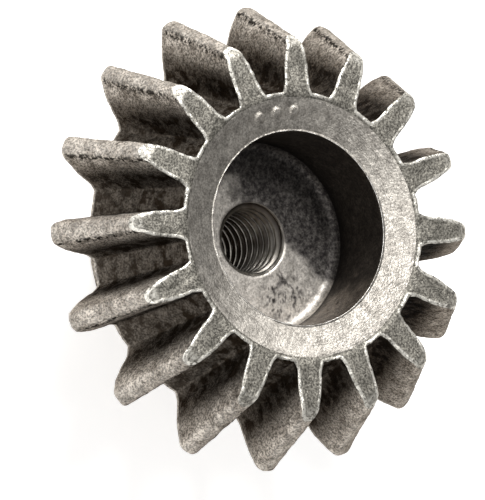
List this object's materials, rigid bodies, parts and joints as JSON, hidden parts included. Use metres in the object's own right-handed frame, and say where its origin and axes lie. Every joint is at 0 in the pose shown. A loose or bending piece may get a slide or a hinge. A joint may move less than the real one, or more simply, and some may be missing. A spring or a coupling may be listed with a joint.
{
  "type": "straight bevel pinion",
  "caption": "One-piece cast straight bevel pinion with a dished front ring, a deep counterbore and a tapped hole through its hub.",
  "frame": {"origin": "centre of the hub's flat back face", "axes": "+Z along the bore axis, from the hub's back face to the small end; one tooth is centred on -Y and one on +X"},
  "size_m": [0.063, 0.063, 0.031],
  "materials": {
    "cast_steel": "as cast on the teeth, turned on the front ring"
  },
  "bodies": {
    "root": {"bevel_pinion": "cast_steel"}
  },
  "joints": []
}
